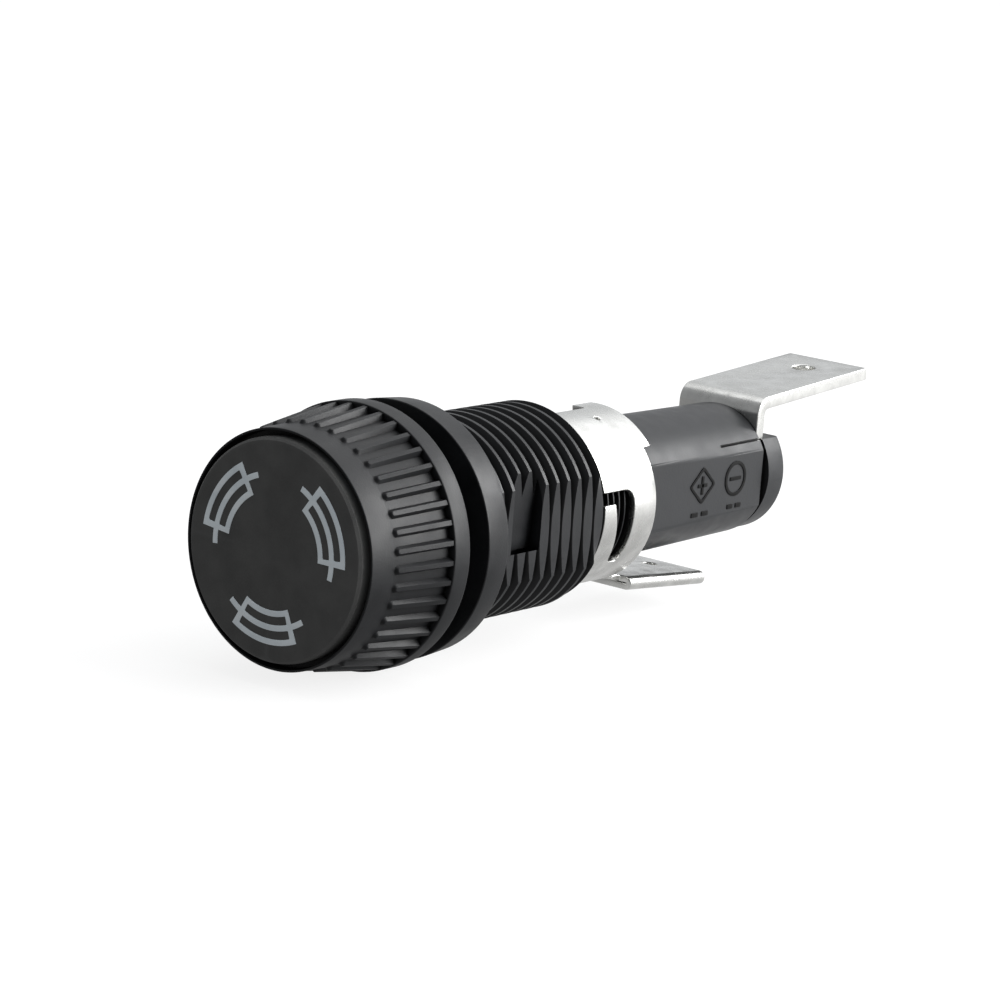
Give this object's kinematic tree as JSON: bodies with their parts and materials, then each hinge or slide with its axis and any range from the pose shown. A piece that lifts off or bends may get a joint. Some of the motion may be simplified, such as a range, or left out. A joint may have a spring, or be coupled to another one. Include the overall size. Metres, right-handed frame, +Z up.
{
  "type": "panel mount cartridge fuse holder",
  "caption": "Panel-mount holder for a cartridge fuse: threaded black barrel, knurled bayonet knob that carries the fuse, strap side terminal and bent rear blade terminal.",
  "frame": {"origin": "on the holder's axis, in the plane of the panel, which is the rear face of the flange", "axes": "+Y along the holder's axis from the knob to the rear terminal, +Z up on the side of the rear blade, +X towards the flat with the strap's slot"},
  "size_m": [0.0158, 0.0555, 0.0158],
  "materials": {
    "black_plastic": "moulded satin black",
    "knob_plastic": "moulded satin black",
    "face_plastic": "fine matt texture",
    "face_ink": "pad printed",
    "tin_plate": "bright tin plate on brass",
    "nickel": "nickel plate",
    "spring_steel": "drawn wire",
    "fuse_glass": "clear",
    "fuse_cap_plate": "nickel plated brass",
    "solder": "dull",
    "fuse_wire": "tinned wire"
  },
  "bodies": {
    "holder": {"holder_body": "black_plastic", "side_terminal": "tin_plate", "rear_terminal": "tin_plate"},
    "fuse": {"fuse_glass": "fuse_glass", "fuse_front_cap": "fuse_cap_plate", "fuse_rear_cap": "fuse_cap_plate", "fuse_front_solder": "solder", "fuse_rear_solder": "solder", "fuse_wire": "fuse_wire"},
    "cup": {"pressure_cup": "nickel"},
    "spring": {"knob_spring": "spring_steel"},
    "knob": {"knob_shell": "knob_plastic", "knob_face_disc": "face_plastic", "face_marks": "face_ink", "contact_rivet": "nickel", "contact_sleeve": "nickel"}
  },
  "joints": [
    {"name": "fuse_withdraw", "type": "slide", "parent": "holder", "child": "fuse", "axis": [0, -1, 0], "range_m": [0, 0.036]},
    {"name": "knob_pull_off", "type": "slide", "parent": "fuse", "child": "cup", "axis": [0, -1, 0], "range_m": [0, 0.02]},
    {"name": "knob_press", "type": "slide", "parent": "cup", "child": "spring", "axis": [0, 1, 0], "range_m": [0, 0.0008], "stiffness_N_per_m": 1500, "deforming": ["knob_spring"]},
    {"name": "knob_turn", "type": "hinge", "parent": "spring", "child": "knob", "pos_m": [0, 0, 0], "axis": [0, 1, 0], "range_deg": [0, 50]}
  ]
}
